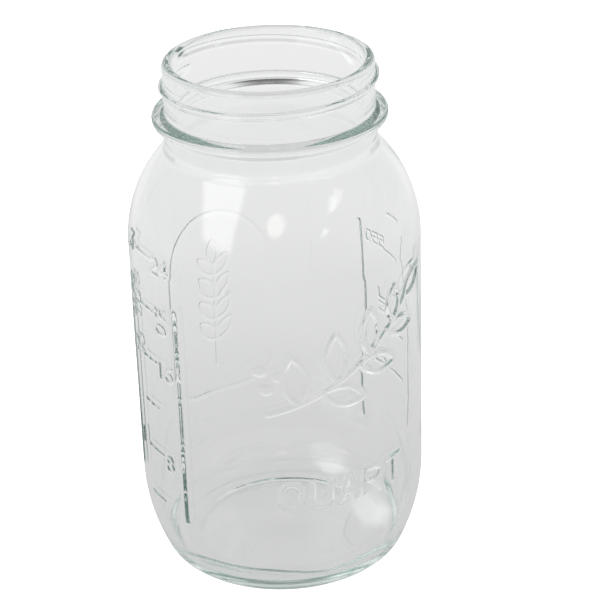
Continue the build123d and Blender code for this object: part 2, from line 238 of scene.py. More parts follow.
# Unevenness of the walls: seed of its waves and their size. It fades out near the long bar beside
# the ounces, and towards the heel and the neck, each by the height where it starts and its reach.
OUTER_WAVES = (3, 0.03)
INNER_WAVES = (11, 0.16)
WAVES = 14
WAVE_MOST_TURNS = 6
WAVE_PITCHES = (35, 130)
LONG_BAR_BEARING = -42.4
CALM_REACH = 60.0
OUTER_CALM_LOW = (10, 14)
OUTER_CALM_HIGH = (150, 10)
INNER_CALM_LOW = (7, 10)
INNER_CALM_HIGH = (155, 12)

# Glass that has settled in the heel: its depth, the height of its upper edge and of that edge's
# waves, each by turns round the jar, height and phase, and where it ends on the floor
HEEL_POOL_DEPTH = 1.5
HEEL_POOL_EDGE = 8.4
HEEL_POOL_WAVES = ((2, 1.6, 0.6), (5, 0.9, 2.1), (9, 0.5, 0.0))
HEEL_POOL_FLANK = 2.6
HEEL_POOL_INSIDE = (30, 8)

# Glass
GLASS_INDEX = 1.52
GLASS_TINT = (0.40, 0.56, 0.51, 1)
GLASS_DENSITY = 8.0
RIPPLE_SCALE = 160.0
RIPPLE_DETAIL = 1.0
RIPPLE_DEPTH = 0.00001

# Room: an even grey, and its darker patches, each by direction, the angles from there at which it
# is full and gone, and its grey
ROOM_GREY = 0.85
ROOM_PATCHES = (((0, 0, 1), 8, 22, 0.12), ((0, 1, 0.3), 5, 19, 0.6))

# Paper seen by the camera, and the paper seen in the glass: greys by distance in metres, where the
# darker greys near the jar are a painted shadow of it. The white one bends up at SWEEP_FLAT, and
# both lie a little under the jar.
PAPER_WHITE = 0.8
PAPER_GLOW = 0.85
PAPER_SHADOW_GREYS = ((0.0, 0.61), (0.11, 0.68), (0.25, 0.80), (0.7, 0.90))
SWEEP_FLAT = 2.0
SWEEP_BEND = 1.5
SWEEP_TOP = 6.0
SWEEP_STEPS = 12
FLOOR_RADIUS = 0.5
GREY_RADII = (1.0, 12.0)
SHEET_SIDES = 96
FLOOR_DROP = 0.0003
GREY_DROP = 0.0002

# Camera
CAMERA = (0.007568, -0.59098, 0.37852)
CAMERA_DROP = 26.139
CAMERA_ROLL = -1.851
CAMERA_LENS = 119.71
CAMERA_SENSOR = 36

# Lights of the room: outlines in azimuth and elevation as seen from the jar, colour and strength
PANEL_CENTRE = (0.0, 0.0, 0.137)
PANEL_DISTANCE = 1.2
WINDOW = (
    (-97, 46), (-85, 59), (-66, 70), (-39, 57), (-34, 44), (-33, 30), (-34, 9), (-46, 8), (-58, 13),
    (-64, 25), (-73, 36),
)
LAMP = ((2, 41), (7, 38), (9, 31), (6, 24), (1, 21), (-4, 24), (-6, 31), (-4, 38))
STREAK = ((71, 43), (77, 38), (68, 34), (59, 31), (53, 32), (60, 38))
LOW_STREAK = ((42, 22), (46, 19), (41, 16), (36, 16))
ROOM_LIGHTS = (
    ("window", WINDOW, (1, 1, 1, 1), 2.6),
    ("lamp", LAMP, (1, 0.97, 0.93, 1), 2.6),
    ("streak", STREAK, (1, 1, 1, 1), 2.6),
    ("low_streak", LOW_STREAK, (1, 1, 1, 1), 2.4),
)

# Painted pools of light on the floor beside the jar, glowing patches that stand in for the light
# that
# the jar gathers there: outlines in millimetres
POOL = ((72, -77), (82, -64), (85, -50), (80, -36), (67, -27), (57, -31), (55, -46), (67, -68))
FAR_POOL = ((52, -126), (72, -115), (83, -101), (82, -93), (69, -103), (56, -116))
FLOOR_LIGHTS = (("pool", POOL), ("far_pool", FAR_POOL))
FLOOR_LIGHT_RISE = 0.0004
FLOOR_LIGHT_COLOR = (0.97, 1, 0.98, 1)
FLOOR_LIGHT_STRENGTH = 3.2

# How a light fades out towards its outline: reach from its middle, and share of its strength
GLOW_FADE = ((1.16, 0.0), (1.06, 0.45), (0.96, 0.85), (0.84, 1.0), (0.0, 1.0))
POOL_FADE = ((1.35, 0.0), (1.12, 0.35), (0.9, 0.75), (0.65, 1.0), (0.0, 1.0))

# Light is reflected many times inside the glass, and a path cut short there shows as a black mark
MOST_BOUNCES = 160
GLASS_BOUNCES = 128

# Strokes of each character in a cell 4 wide and 6 high
GLYPH_CELL_HEIGHT = 6
GLYPHS = {
    "0": [[(1, 0), (3, 0), (4, 1.5), (4, 4.5), (3, 6), (1, 6), (0, 4.5), (0, 1.5), (1, 0)]],
    "1": [[(1, 5), (2, 6), (2, 0)]],
    "2": [[(0, 4.8), (1, 6), (3, 6), (4, 4.8), (4, 3.8), (0, 0), (4, 0)]],
    "3": [[(0, 6), (4, 6), (2, 3.5), (4, 2.2), (4, 1), (3, 0), (1, 0), (0, 1)]],
    "4": [[(3, 0), (3, 6), (0, 2), (4, 2)]],
    "5": [[(4, 6), (0.4, 6), (0, 3.4), (3, 3.6), (4, 2.4), (4, 1.2), (3, 0), (0, 0)]],
    "6": [[(3.6, 6), (1, 4.4), (0, 1.8), (1, 0), (3, 0), (4, 1.6), (3, 3.2), (0.6, 2.9)]],
    "8": [[(1, 3.3), (0.3, 4.7), (1.2, 6), (2.8, 6), (3.7, 4.7), (3, 3.3), (4, 1.6), (3, 0),
           (1, 0), (0, 1.6), (1, 3.3), (3, 3.3)]],
    "A": [[(0, 0), (2, 6), (4, 0)], [(0.8, 2), (3.2, 2)]],
    "C": [[(4, 4.8), (3, 6), (1, 6), (0, 4.5), (0, 1.5), (1, 0), (3, 0), (4, 1.2)]],
    "L": [[(0, 6), (0, 0), (4, 0)]],
    "M": [[(0, 0), (0, 6), (2, 2.4), (4, 6), (4, 0)]],
    "O": [[(1, 0), (3, 0), (4, 1.5), (4, 4.5), (3, 6), (1, 6), (0, 4.5), (0, 1.5), (1, 0)]],
    "P": [[(0, 0), (0, 6), (3, 6), (4, 5), (4, 4), (3, 3), (0, 3)]],
    "Q": [[(1, 0), (3, 0), (4, 1.5), (4, 4.5), (3, 6), (1, 6), (0, 4.5), (0, 1.5), (1, 0)],
          [(2.4, 1.8), (4, -0.4)]],
    "R": [[(0, 0), (0, 6), (3, 6), (4, 5), (4, 4), (3, 3), (0, 3)], [(2, 3), (4, 0)]],
    "S": [[(4, 5), (3, 6), (1, 6), (0, 5), (0, 4.2), (4, 1.9), (4, 1), (3, 0), (1, 0), (0, 1)]],
    "T": [[(0, 6), (4, 6)], [(2, 6), (2, 0)]],
    "U": [[(0, 6), (0, 1.2), (1, 0), (3, 0), (4, 1.2), (4, 6)]],
    "Z": [[(0, 6), (4, 6), (0, 0), (4, 0)], [(0.4, 3), (3.6, 3)]],
}


# ---- profile -------------------------------------------------------------------------------------

def arc(centre, radius, start, end, step):
    """Points along an arc in the half plane (radius, height), angles in degrees from +radius."""
    count = max(3, ceil(abs(radians(end - start)) * radius / step) + 1)
    return np.array(centre) + radius * around(start, end, count)


def around(start, end, count):
    """Points of a unit circle between two angles in degrees."""
    a = np.radians(np.linspace(start, end, count))
    return np.column_stack((np.cos(a), np.sin(a)))


def line(start, end, step):
    """Points along a straight line, both ends included."""
    count = max(2, ceil(hypot(end[0] - start[0], end[1] - start[1]) / step) + 1)
    return np.linspace(start, end, count)


def rounded(corners, rounds, steps):
    """Points along a polyline whose inner corners are rounded. There is one step for each side."""
    pts = [np.array(c, float) for c in corners]
    out, at = [], pts[0]
    for i in range(1, len(pts) - 1):
        a, b = pts[i - 1] - pts[i], pts[i + 1] - pts[i]
        a, b = a / np.linalg.norm(a), b / np.linalg.norm(b)
        half = acos(float(np.clip(a @ b, -1, 1))) / 2
        reach = rounds[i - 1] / np.tan(half)
        middle = (a + b) / np.linalg.norm(a + b)
        centre = pts[i] + middle * (rounds[i - 1] / sin(half))
        first, last = pts[i] + a * reach, pts[i] + b * reach
        out.append(line(at, first, steps[i - 1]))
        one = degrees(atan2(*(first - centre)[::-1]))
        two = degrees(atan2(*(last - centre)[::-1]))
        turn = (two - one + 180) % 360 - 180
        step = rounds[i - 1] * CORNER_STEP_SHARE
        out.append(arc(centre, rounds[i - 1], one, one + turn, step))
        at = last
    out.append(line(at, pts[-1], steps[-1]))
    return np.vstack(out)


def joined(parts):
    """One run of points, with repeats taken out."""
    p = np.vstack(parts)
    keep = np.r_[True, np.hypot(*np.diff(p, axis=0).T) > SAME_POINT]
    return p[keep]


def fillet_centre(radius, reach):
    """A fillet's centre, at a radius and at a reach from the shoulder's centre, and its angle."""
    height = SHOULDER_Z + sqrt(reach**2 - (radius - SHOULDER_CENTRE[0]) ** 2)
    return (radius, height), degrees(atan2(height - SHOULDER_Z, radius - SHOULDER_CENTRE[0]))


def outer_profile():
    """From the middle of the push-up, round the foot and up to the top of the lip."""
    inside = RING_RADIUS - RING_WIDTH
    t = np.linspace(0, 1, PUSH_UP_POINTS)[:, None]
    push = np.hstack((t * (inside + RING_EDGE[0][0]), PUSH_UP * (1 - t**PUSH_UP_POWER)))
    push[-1, 1] = RING_EDGE[0][1]
    edge = np.array([(inside + across, z) for across, z in RING_EDGE[1:]])
    waist, meet = fillet_centre(WAIST_RADIUS + WAIST_FILLET, SHOULDER_RADIUS + WAIST_FILLET)
    low_root, low_edge, top_edge, top_root = BEAD_HEIGHTS
    return joined([
        push,
        edge,
        line(edge[-1], (RING_RADIUS, 0), FOOT_STEP),
        arc((RING_RADIUS, HEEL_RADIUS), HEEL_RADIUS, -90, -FLARE_ANGLE, HEEL_STEP),
        arc(FLARE_CENTRE, FLARE_RADIUS, -FLARE_ANGLE, MARKS_LOW_ANGLE, CURVE_STEP),
        arc(FLARE_CENTRE, FLARE_RADIUS, MARKS_LOW_ANGLE, 0, MARKED_STEP),
        line((BODY_RADIUS, FLARE_CENTRE[1]), (BODY_RADIUS, SHOULDER_Z), MARKED_STEP),
        arc(SHOULDER_CENTRE, SHOULDER_RADIUS, 0, MARKS_HIGH_ANGLE, MARKED_STEP),
        arc(SHOULDER_CENTRE, SHOULDER_RADIUS, MARKS_HIGH_ANGLE, meet, CURVE_STEP),
        arc(waist, WAIST_FILLET, 180 + meet, 180, FILLET_STEP),
        rounded(
            [
                (WAIST_RADIUS, waist[1]),
                (WAIST_RADIUS, low_root),
                (BEAD_RADIUS, low_edge),
                (BEAD_RADIUS, top_edge),
                (NECK_RADIUS, top_root),
                (NECK_RADIUS, HEIGHT),
                (LIP_RADIUS, HEIGHT),
            ],
            (*BEAD_ROUNDS, LIP_OUTER_ROUND),
            NECK_STEPS,
        ),
    ])


def inner_profile():
    """From the top of the lip down the inside to the middle of the floor."""
    shoulder = SHOULDER_RADIUS - WALL
    mouth, meet = fillet_centre(MOUTH_RADIUS + MOUTH_FILLET, shoulder + MOUTH_FILLET)
    flare = FLARE_RADIUS - WALL
    reach = flare - INNER_HEEL_RADIUS
    heel_z = FLOOR_EDGE + INNER_HEEL_RADIUS
    turn = asin((FLARE_CENTRE[1] - heel_z) / reach)
    heel = (FLARE_CENTRE[0] + reach * cos(turn), heel_z)
    t = np.linspace(0, 1, FLOOR_POINTS)[:, None]
    rise = (FLOOR_CROWN - FLOOR_EDGE) * (3 * t**2 - 2 * t**3)
    floor = np.hstack((heel[0] * (1 - t), FLOOR_EDGE + rise))
    wall = BODY_RADIUS - WALL
    return joined([
        rounded(
            [(LIP_RADIUS, HEIGHT), (MOUTH_RADIUS, HEIGHT), (MOUTH_RADIUS, mouth[1])],
            [LIP_INNER_ROUND],
            INNER_LIP_STEPS,
        ),
        arc(mouth, MOUTH_FILLET, 180, 180 + meet, INNER_FILLET_STEP),
        arc(SHOULDER_CENTRE, shoulder, meet, 0, INNER_CURVE_STEP),
        line((wall, SHOULDER_Z), (wall, FLARE_CENTRE[1]), INNER_WALL_STEP),
        arc(FLARE_CENTRE, flare, 0, -degrees(turn), INNER_CURVE_STEP),
        arc(heel, INNER_HEEL_RADIUS, -degrees(turn), -90, CURVE_STEP),
        floor,
    ])


def outward(profile):
    """Unit normals of a run of points, on the right of its way, where the air is."""
    d = np.gradient(profile, axis=0)
    n = np.column_stack((d[:, 1], -d[:, 0]))
    return n / np.linalg.norm(n, axis=1)[:, None]


# ---- raised marks --------------------------------------------------------------------------------

def smooth(t):
    """An even passage from 0 to 1."""
    t = np.clip(t, 0, 1)
    return t * t * (3 - 2 * t)


class Relief:
    """Strokes drawn on a plane that faces one bearing: x to the right, y up."""

    def __init__(self, bearing):
        self.bearing = bearing
        self.strokes = []

    def pen(self, points, width, height, soft=SOFT):
        """A stroke along some points. Its flanks reach half their width, soft, past its edge."""
        self.strokes.append((np.array(points, float), width, height, soft))

    def bow(self, start, end, rise, width, height):
        """A stroke that rises to the left of its chord, along a parabola."""
        start, end = np.array(start, float), np.array(end, float)
        chord = end - start
        length = np.linalg.norm(chord)
        left = np.array((-chord[1], chord[0])) / length
        t = np.linspace(0, 1, BOW_POINTS)[:, None]
        self.pen(start + chord * t + left * (4 * rise * t * (1 - t)), width, height)

    def leaf(self, base, heading, length, width, stroke, height):
        """The outline of a leaf, drawn with two bows."""
        way = np.array((cos(radians(heading)), sin(radians(heading))))
        tip = np.array(base, float) + way * length
        self.bow(base, tip, width / 2, stroke, height)
        self.bow(base, tip, -width / 2, stroke, height)

    def text(self, text, size, at, advance, upright=True, width=FINE_STROKE, height=TEXT_HEIGHT):
        """Characters from a lower left corner. Text that isn't upright reads upwards."""
        scale = size / GLYPH_CELL_HEIGHT
        for place, character in enumerate(text):
            for stroke in GLYPHS[character]:
                run = [(place * advance + x * scale, y * scale) for x, y in stroke]
                if not upright:
                    run = [(-y, x) for x, y in run]
                self.pen([(at[0] + x, at[1] + y) for x, y in run], width, height)

    def bar(self, x, span, stroke):
        """An upright bar between two heights."""
        self.pen([(x, span[0]), (x, span[1])], *stroke)

    def mark(self, x, z, half):
        """A level graduation mark."""
        self.pen([(x - half, z), (x + half, z)], FINE_STROKE, MARK_HEIGHT)

    def lift(self, bearings, profile):
        """How far each point of the outer grid is lifted by these strokes."""
        turn = np.radians((bearings - self.bearing + 180) % 360 - 180)
        out = np.zeros((len(profile), len(bearings)))
        x_unit = np.sin(turn)
        front = np.cos(turn) > FACING_COSINE
        for points, width, height, soft in self.strokes:
            reach = width / 2 + soft + REACH_MARGIN
            low, high = points.min(0) - reach, points.max(0) + reach
            rows = np.nonzero((profile[:, 1] > low[1]) & (profile[:, 1] < high[1]))[0]
            if not len(rows):
                continue
            across = profile[rows, 0].mean() * x_unit
            near = (across > low[0] - COLUMN_MARGIN) & (across < high[0] + COLUMN_MARGIN)
            columns = np.nonzero(front & near)[0]
            if not len(columns):
                continue
            x = profile[rows, 0][:, None] * x_unit[columns][None, :]
            y = np.repeat(profile[rows, 1][:, None], len(columns), 1)
            best = np.full(x.shape, np.inf)
            for a, b in zip(points, points[1:]):
                d = b - a
                t = np.clip(((x - a[0]) * d[0] + (y - a[1]) * d[1]) / (d @ d), 0, 1)
                best = np.minimum(best, np.hypot(x - a[0] - t * d[0], y - a[1] - t * d[1]))
            if len(points) == 1:
                best = np.hypot(x - points[0, 0], y - points[0, 1])
            up = height * smooth((width / 2 + soft - best) / (2 * soft))
            block = np.ix_(rows, columns)
            out[block] = np.maximum(out[block], up)
        return out


def ounce_scale():
    m = Relief(OUNCE_BEARING)
    m.bar(BAR_OFFSET, LONG_BAR_SPAN, LONG_BAR_STROKE)
    m.bar(-BAR_OFFSET, SHORT_BAR_SPAN, SHORT_BAR_STROKE)
    for ounces, z in OUNCE_MARKS.items():
        whole_cups = ounces % OUNCES_PER_CUP == 0
        m.mark(OUNCE_MARK_OFFSET, z, MAJOR_HALF if whole_cups else MINOR_HALF)
        if whole_cups:
            left = ONE_DIGIT_OFFSET if ounces == OUNCES_PER_CUP else TWO_DIGIT_OFFSET
            low_left = (left, z - OUNCE_NUMERAL_DROP)
            m.text(str(ounces), NUMERAL_HEIGHT, low_left, NUMERAL_ADVANCE)
            cups = str(ounces // OUNCES_PER_CUP)
            m.text(cups, NUMERAL_HEIGHT, (CUP_OFFSET, z - CUP_DROP), NUMERAL_ADVANCE)
    m.text("OZ", UNIT_HEIGHT, OUNCE_UNIT_CORNER, OUNCE_UNIT_ADVANCE, upright=False)
    m.text("CUPS", UNIT_HEIGHT, CUP_UNIT_CORNER, CUP_UNIT_ADVANCE, upright=False)
    return m


def metric_scale():
    m = Relief(METRIC_BEARING)
    m.bar(METRIC_BAR_OFFSET, LONG_BAR_SPAN, METRIC_BAR_STROKE)
    m.bar(-BAR_OFFSET, SHORT_BAR_SPAN, SHORT_BAR_STROKE)
    for millilitres, z in METRIC_MARKS.items():
        numbered = millilitres in NUMBERED_METRIC_MARKS
        m.mark(METRIC_MARK_OFFSET, z, MAJOR_HALF if numbered else MINOR_HALF)
        if numbered:
            low_left = (METRIC_NUMERAL_OFFSET, z + METRIC_NUMERAL_RISE)
            m.text(str(millilitres), UNIT_HEIGHT, low_left, METRIC_NUMERAL_ADVANCE)
    m.text("ML", UNIT_HEIGHT, METRIC_UNIT_CORNER, METRIC_UNIT_ADVANCE, upright=False)
    return m


def sprig():
    m = Relief(FRONT_BEARING)
    foot, tip = np.array(STEM_FOOT), np.array(STEM_TIP)
    chord = tip - foot
    right = np.array((chord[1], -chord[0])) / np.linalg.norm(chord)
    m.bow(foot, tip, -STEM_SAG, BOLD_STROKE, SPRIG_HEIGHT)
    m.leaf(tip, TIP_LEAF_HEADING, TIP_LEAF_LENGTH, TIP_LEAF_WIDTH, BOLD_STROKE, SPRIG_HEIGHT)
    for along, heading, length in SIDE_LEAVES:
        base = foot + chord * along + right * (4 * STEM_SAG * along * (1 - along))
        m.leaf(base, heading, length, length * SIDE_LEAF_SLIMNESS, BOLD_STROKE, SPRIG_HEIGHT)
    for berry in BERRIES:
        m.pen([berry], *BERRY_STROKE)
    return m


def word():
    m = Relief(FRONT_BEARING)
    width, height = WORD_STROKE
    m.text(WORD, WORD_HEIGHT, WORD_CORNER, WORD_ADVANCE, width=width, height=height)
    return m


def back_frame():
    m = Relief(BACK_BEARING)
    head = FRAME_HIGH_Z - FRAME_HALF_WIDTH
    foot = np.array((FRAME_HALF_WIDTH - FRAME_CORNER, FRAME_LOW_Z + FRAME_CORNER))
    corner = foot + FRAME_CORNER * around(-90, 0, FRAME_CORNER_POINTS)
    top = (0, head) + FRAME_HALF_WIDTH * around(0, 90, FRAME_TOP_POINTS)
    right = np.vstack(([[0, FRAME_LOW_Z]], corner, top))
    right_height, left_height = FRAME_HEIGHTS
    m.pen(right, BOLD_STROKE, right_height)
    m.pen(right * (-1, 1), BOLD_STROKE, left_height)
    m.pen([(0, BACK_STEM_LOW_Z), (0, BACK_STEM_HIGH_Z)], FINE_STROKE, MARK_HEIGHT)
    leaves = [(BACK_STEM_HIGH_Z, 90)]
    for pair in range(BACK_LEAF_PAIRS):
        z = BACK_LEAF_LOW_Z + BACK_LEAF_STEP * pair
        leaves += [(z, BACK_LEAF_HEADING), (z, 180 - BACK_LEAF_HEADING)]
    for z, heading in leaves:
        m.leaf((0, z), heading, BACK_LEAF_LENGTH, BACK_LEAF_WIDTH, FINE_STROKE, MARK_HEIGHT)
    return m


def thread_lift(bearings, profile):
    """The screw thread, which runs a little over one turn and fades out at both ends."""
    out = np.zeros((len(profile), len(bearings)))
    on_neck = (profile[:, 1] > THREAD_FOOT_Z) & (profile[:, 0] > NECK_RADIUS - THREAD_INSET)
    rows = np.nonzero(on_neck)[0]
    z = profile[rows, 1][:, None]
    first, last = THREAD_BEARINGS
    for turn in (-360, 0, 360):
        b = (bearings + 180) % 360 - 180 + turn
        fade = smooth((b - first) / THREAD_RUN_OUT) * smooth((last - b) / THREAD_RUN_OUT)
        off = z - (THREAD_FRONT_Z + THREAD_PITCH * b / 360)[None, :]
        off = np.where(off > 0, off / THREAD_TOP_FLANK, -off / THREAD_LOW_FLANK)
        up = smooth((1 - off) / (1 - THREAD_CREST_SHARE))
        out[rows] = np.maximum(out[rows], THREAD_HEIGHT * up * fade[None, :])
    return out


# ---- mesh ----------------------------------------------------------------------------------------

def columns():
    """Bearings of the grid's columns: close together where there are raised marks."""
    edges = []
    starts = [band[0] for band in COLUMN_BANDS[1:]] + [COLUMN_BANDS[0][0] + 360]
    for (low, high, step), following in zip(COLUMN_BANDS, starts):
        edges.append(np.arange(low, high, step))
        gap = following - high
        if gap:
            count = ceil(gap / PLAIN_SPACING)
            edges.append(high + np.arange(0, count) * (gap / count))
    return np.unique(np.round(np.concatenate(edges), 4))


def fade_between(profile, low, high):
    """1 along most of the profile, and 0 below and above two heights, each with its reach."""
    z = profile[:, 1]
    return (smooth((z - low[0]) / low[1]) * smooth((high[0] - z) / high[1]))[:, None]


def wave(bearings, profile, seed, size):
    """Slow unevenness of blown glass, the same on every run."""
    rng = np.random.default_rng(seed)
    a = np.radians(bearings)[None, :]
    z = profile[:, 1][:, None]
    out = np.zeros((len(profile), len(bearings)))
    for _ in range(WAVES):
        turns = rng.integers(0, WAVE_MOST_TURNS + 1)
        pitch = rng.uniform(*WAVE_PITCHES)
        out += np.cos(turns * a + 2 * pi * z / pitch + rng.uniform(0, 2 * pi)) / sqrt(WAVES)
    return out * size


def heel_pool(bearings, profile):
    """The glass that has settled in the heel: a step on the inside whose upper edge is wavy."""
    a = np.radians(bearings)[None, :]
    waves = sum(height * np.cos(turns * a + phase) for turns, height, phase in HEEL_POOL_WAVES)
    edge = HEEL_POOL_EDGE + waves
    z = profile[:, 1][:, None]
    first, reach = HEEL_POOL_INSIDE
    outside = smooth((profile[:, 0] - first) / reach)[:, None]
    return HEEL_POOL_DEPTH * smooth((edge - z) / HEEL_POOL_FLANK + 0.5) * outside


def jar_grid(bearings):
    """Radius and height of each point: a row for each profile point, a column for each bearing."""
    outer, inner = outer_profile(), inner_profile()
    lift = np.zeros((len(outer), len(bearings)))
    for marks in (ounce_scale(), metric_scale(), sprig(), word(), back_frame()):
        lift = np.maximum(lift, marks.lift(bearings, outer))
    lift += thread_lift(bearings, outer)
    calm = smooth(np.abs((bearings - LONG_BAR_BEARING + 180) % 360 - 180) / CALM_REACH)[None, :]
    body = fade_between(outer, OUTER_CALM_LOW, OUTER_CALM_HIGH)
    lift += wave(bearings, outer, *OUTER_WAVES) * body * calm
    inner_body = fade_between(inner, INNER_CALM_LOW, INNER_CALM_HIGH)
    dent = wave(bearings, inner, *INNER_WAVES) * inner_body * calm
    dent += heel_pool(bearings, inner)
    out, into = outward(outer), outward(inner)
    r = np.vstack((outer[:, :1] + lift * out[:, :1], inner[:, :1] + dent * into[:, :1]))
    z = np.vstack((outer[:, 1:] + lift * out[:, 1:], inner[:, 1:] + dent * into[:, 1:]))
    return np.delete(r, len(outer), 0), np.delete(z, len(outer), 0)


def closed_mesh(name, grid):
    """A mesh through a grid of points that goes round an axis. Its first and last row are poles."""
    rows, cols = grid.shape[:2]
    count = rows - 2
    poles = np.array([[0, 0, grid[0, :, 2].mean()], [0, 0, grid[-1, :, 2].mean()]])
    points = np.vstack((grid[1:-1].reshape(-1, 3), poles)) * MM
    index = np.arange(count * cols).reshape(count, cols)
    after = np.roll(index, -1, 1)
    quads = np.stack((index[:-1], after[:-1], after[1:], index[1:]), -1).reshape(-1, 4)
    low_pole, high_pole = count * cols, count * cols + 1
    start = np.stack((np.full(cols, low_pole), after[0], index[0]), -1)
    end = np.stack((np.full(cols, high_pole), index[-1], after[-1]), -1)
    loops = np.concatenate((quads.ravel(), start.ravel(), end.ravel()))
    sizes = np.concatenate((np.full(len(quads), 4), np.full(2 * cols, 3)))
    mesh = bpy.data.meshes.new(name)
    mesh.vertices.add(len(points))
    mesh.vertices.foreach_set("co", points.astype(np.float32).ravel())
    mesh.loops.add(len(loops))
    mesh.loops.foreach_set("vertex_index", loops.astype(np.int32))
    mesh.polygons.add(len(sizes))
    mesh.polygons.foreach_set("loop_start", np.r_[0, np.cumsum(sizes)[:-1]].astype(np.int32))
    mesh.update(calc_edges=True)
    mesh.validate()
    mesh.polygons.foreach_set("use_smooth", np.ones(len(mesh.polygons), bool))
    return mesh


def added(name, data):
    """A new object in the scene."""
    obj = bpy.data.objects.new(name, data)
    bpy.context.scene.collection.objects.link(obj)
    return obj


def build_jar():
    bearings = columns()
    a = np.radians(bearings)
    r, z = jar_grid(bearings)
    grid = np.stack((r * np.sin(a), -r * np.cos(a), z), -1)
    jar = added("jar_glass", closed_mesh("jar_glass", grid))
    print("jar_glass:", len(jar.data.vertices), "vertices,", len(jar.data.polygons), "faces")
    return jar


# ---- materials -----------------------------------------------------------------------------------

def new_material(name):
    """A material with its nodes and links."""
    material = bpy.data.materials.new(name)
    material.use_nodes = True
    return material, material.node_tree.nodes, material.node_tree.links


def glass():
    """Clear glass: aqua where light runs far through it, and faintly rippled."""
    material, nodes, links = new_material("clear_glass")
    shader = nodes["Principled BSDF"]
    shader.inputs["Base Color"].default_value = (1, 1, 1, 1)
    shader.inputs["Roughness"].default_value = 0.0
    shader.inputs["IOR"].default_value = GLASS_INDEX
    shader.inputs["Transmission Weight"].default_value = 1.0
    where = nodes.new("ShaderNodeTexCoord")
    ripple = nodes.new("ShaderNodeTexNoise")
    ripple.inputs["Scale"].default_value = RIPPLE_SCALE
    ripple.inputs["Detail"].default_value = RIPPLE_DETAIL
    skin = nodes.new("ShaderNodeBump")
    skin.inputs["Distance"].default_value = RIPPLE_DEPTH
    links.new(where.outputs["Object"], ripple.inputs["Vector"])
    links.new(ripple.outputs["Fac"], skin.inputs["Height"])
    links.new(skin.outputs["Normal"], shader.inputs["Normal"])
    depth = nodes.new("ShaderNodeVolumeAbsorption")
    depth.inputs["Color"].default_value = GLASS_TINT
    depth.inputs["Density"].default_value = GLASS_DENSITY
    links.new(depth.outputs["Volume"], nodes["Material Output"].inputs["Volume"])
    return material


# ---- studio --------------------------------------------------------------------------------------

def place_camera():
    """The camera of the photograph: level with -Y, turned down and rolled a little."""
    data = bpy.data.cameras.new("camera")
    data.sensor_width = CAMERA_SENSOR
    data.lens = CAMERA_LENS
    camera = added("camera", data)
    e, roll = radians(CAMERA_DROP), radians(CAMERA_ROLL)
    forward = Vector((0, cos(e), -sin(e)))
    right = Vector((1, 0, 0))
    up = right.cross(forward)
    tilted_right = right * cos(roll) + up * sin(roll)
    tilted_up = up * cos(roll) - right * sin(roll)
    turn = Matrix((tilted_right, tilted_up, -forward)).transposed().to_4x4()
    camera.matrix_world = Matrix.Translation(CAMERA) @ turn
    bpy.context.scene.camera = camera


def sheet(name, rings, z, material, camera):
    """A round stage sheet, seen either by the camera alone or by everything but the camera."""
    points = [(0.0, 0.0, z)]
    for radius, height in rings:
        for i in range(SHEET_SIDES):
            t = 2 * pi * i / SHEET_SIDES
            points.append((radius * sin(t), radius * cos(t), height + z))
    faces = [(0, 1 + (i + 1) % SHEET_SIDES, 1 + i) for i in range(SHEET_SIDES)]
    for at in range(1, 1 + (len(rings) - 1) * SHEET_SIDES, SHEET_SIDES):
        for i in range(SHEET_SIDES):
            j = (i + 1) % SHEET_SIDES
            faces.append((at + i, at + j, at + SHEET_SIDES + j, at + SHEET_SIDES + i))
    mesh = bpy.data.meshes.new(name)
    mesh.from_pydata(points, [], faces)
    mesh.polygons.foreach_set("use_smooth", [True] * len(faces))
    mesh.materials.append(material)
    obj = added(name, mesh)
    obj.visible_camera = camera
    obj.visible_diffuse = not camera
    obj.visible_glossy = not camera
    obj.visible_transmission = not camera
    obj.visible_volume_scatter = not camera
    obj.visible_shadow = False


def white_paper():
    """The sweep that the camera sees around the jar: white, overexposed, and clear from below."""
    material, nodes, links = new_material("white_paper")
    shader = nodes["Principled BSDF"]
    shader.inputs["Base Color"].default_value = (PAPER_WHITE, PAPER_WHITE, PAPER_WHITE, 1)
    shader.inputs["Roughness"].default_value = 1.0
    shader.inputs["Specular IOR Level"].default_value = 0.0
    shader.inputs["Emission Color"].default_value = (1, 1, 1, 1)
    shader.inputs["Emission Strength"].default_value = PAPER_GLOW
    side = nodes.new("ShaderNodeNewGeometry")
    clear = nodes.new("ShaderNodeBsdfTransparent")
    mix = nodes.new("ShaderNodeMixShader")
    links.new(side.outputs["Backfacing"], mix.inputs["Fac"])
    links.new(shader.outputs["BSDF"], mix.inputs[1])
    links.new(clear.outputs["BSDF"], mix.inputs[2])
    links.new(mix.outputs["Shader"], nodes["Material Output"].inputs["Surface"])
    return material


def grey_paper():
    """Pale grey glowing paper that is seen through and in the glass, darker under the jar than far
    away as a painted shadow of the jar.
    """
    material, nodes, links = new_material("grey_paper")
    nodes.remove(nodes["Principled BSDF"])
    where = nodes.new("ShaderNodeTexCoord")
    far = nodes.new("ShaderNodeVectorMath")
    far.operation = "LENGTH"
    # Painted shadow: the glow is darker near the jar, where the jar's shadow would lie
    ramp = nodes.new("ShaderNodeValToRGB")
    while len(ramp.color_ramp.elements) < len(PAPER_SHADOW_GREYS):
        ramp.color_ramp.elements.new(0.5)
    for element, (distance, grey) in zip(ramp.color_ramp.elements, PAPER_SHADOW_GREYS):
        element.position = distance
        element.color = (grey, grey, grey, 1)
    glow = nodes.new("ShaderNodeEmission")
    links.new(where.outputs["Object"], far.inputs[0])
    links.new(far.outputs["Value"], ramp.inputs["Fac"])
    links.new(ramp.outputs["Color"], glow.inputs["Color"])
    links.new(glow.outputs["Emission"], nodes["Material Output"].inputs["Surface"])
    return material


